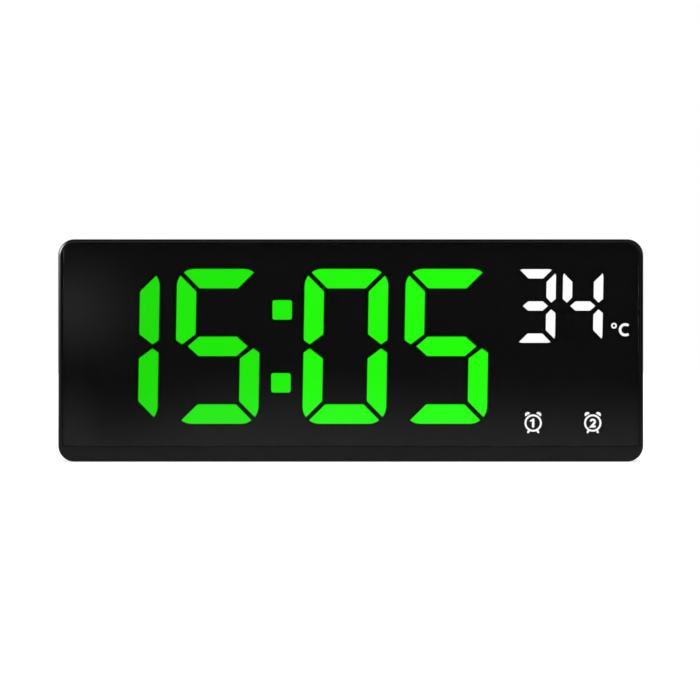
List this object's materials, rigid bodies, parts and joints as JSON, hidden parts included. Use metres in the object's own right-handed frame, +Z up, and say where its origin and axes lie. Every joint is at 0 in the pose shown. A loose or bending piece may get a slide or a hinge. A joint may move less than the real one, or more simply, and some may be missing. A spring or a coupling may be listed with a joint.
{
  "type": "digital alarm clock",
  "caption": "Low, wide desk alarm clock with a smoked flush window over a seven-segment time and temperature display, back buttons and a battery door.",
  "frame": {"origin": "centre of the flat base, on the surface that the clock stands on", "axes": "+Z up, +X to the right when the display is read, -Y out of the display"},
  "size_m": [0.16, 0.026, 0.0609],
  "materials": {
    "case_gloss": "polished black ABS",
    "case_satin": "black ABS with a fine spark-eroded grain",
    "smoked_lens": "polished smoked acrylic",
    "mask_ink": "black screen-printed sheet",
    "green_light": "lit green diffuser",
    "white_light": "lit white diffuser",
    "light_box_white": "moulded white",
    "board_green": "solder-masked glass epoxy",
    "epoxy_black": "moulded black",
    "can_metal": "drawn can",
    "steel": "nickel-plated steel",
    "plunger_ivory": "moulded ivory",
    "ribbon_grey": "flat grey cable",
    "cell_jacket": "printed sleeve",
    "lead_red": "soft insulation",
    "lead_black": "soft insulation"
  },
  "bodies": {
    "clock_body": {"front_frame": "case_gloss", "front_lens": "smoked_lens", "display_mask": "mask_ink", "time_diffuser": "green_light", "temperature_diffuser": "white_light", "alarm_sign_diffuser": "white_light", "light_box": "light_box_white", "main_board": "board_green", "main_board_screw_1": "steel", "main_board_screw_2": "steel", "main_board_screw_3": "steel", "main_board_screw_4": "steel", "microcontroller": "epoxy_black", "crystal": "can_metal", "capacitor": "can_metal", "buzzer": "epoxy_black", "ribbon_cable": "ribbon_grey", "button_board": "board_green", "button_board_screw_1": "steel", "button_board_screw_2": "steel", "power_socket": "steel", "thermistor": "epoxy_black", "switch_1": "epoxy_black", "switch_2": "epoxy_black", "switch_3": "epoxy_black", "switch_4": "epoxy_black", "rear_cover": "case_satin", "case_screw_1": "steel", "case_screw_2": "steel", "case_screw_3": "steel", "case_screw_4": "steel", "battery_cell_1": "cell_jacket", "battery_cell_2": "cell_jacket", "battery_cell_3": "cell_jacket", "contact_positive": "steel", "contact_negative": "steel", "contact_bridge_1": "steel", "contact_bridge_2": "steel", "battery_lead_red": "lead_red", "battery_lead_black": "lead_black"},
    "door": {"battery_door": "case_satin"},
    "alarm_key": {"button_alarm": "case_satin"},
    "down_key": {"button_down": "case_satin"},
    "up_key": {"button_up": "case_satin"},
    "set_key": {"button_set": "case_satin"},
    "alarm_plunger": {"switch_plunger_1": "plunger_ivory"},
    "down_plunger": {"switch_plunger_2": "plunger_ivory"},
    "up_plunger": {"switch_plunger_3": "plunger_ivory"},
    "set_plunger": {"switch_plunger_4": "plunger_ivory"}
  },
  "joints": [
    {"name": "door_swing", "type": "hinge", "parent": "clock_body", "child": "door", "pos_m": [0, 0.01215, 0.00425], "axis": [-1, 0, 0], "range_deg": [0, 75]},
    {"name": "alarm_press", "type": "slide", "parent": "clock_body", "child": "alarm_key", "axis": [0, -1, 0], "range_m": [0, 0.0005], "stiffness_N_per_m": 1500},
    {"name": "down_press", "type": "slide", "parent": "clock_body", "child": "down_key", "axis": [0, -1, 0], "range_m": [0, 0.0005], "stiffness_N_per_m": 1500},
    {"name": "up_press", "type": "slide", "parent": "clock_body", "child": "up_key", "axis": [0, -1, 0], "range_m": [0, 0.0005], "stiffness_N_per_m": 1500},
    {"name": "set_press", "type": "slide", "parent": "clock_body", "child": "set_key", "axis": [0, -1, 0], "range_m": [0, 0.0005], "stiffness_N_per_m": 1500},
    {"name": "alarm_click", "type": "slide", "parent": "clock_body", "child": "alarm_plunger", "axis": [0, -1, 0], "range_m": [0, 0.0003]},
    {"name": "down_click", "type": "slide", "parent": "clock_body", "child": "down_plunger", "axis": [0, -1, 0], "range_m": [0, 0.0003]},
    {"name": "up_click", "type": "slide", "parent": "clock_body", "child": "up_plunger", "axis": [0, -1, 0], "range_m": [0, 0.0003]},
    {"name": "set_click", "type": "slide", "parent": "clock_body", "child": "set_plunger", "axis": [0, -1, 0], "range_m": [0, 0.0003]}
  ],
  "couplings": [
    {"joint": "alarm_click", "follows": "alarm_press", "ratio": 0.5},
    {"joint": "down_click", "follows": "down_press", "ratio": 0.5},
    {"joint": "up_click", "follows": "up_press", "ratio": 0.5},
    {"joint": "set_click", "follows": "set_press", "ratio": 0.5}
  ]
}
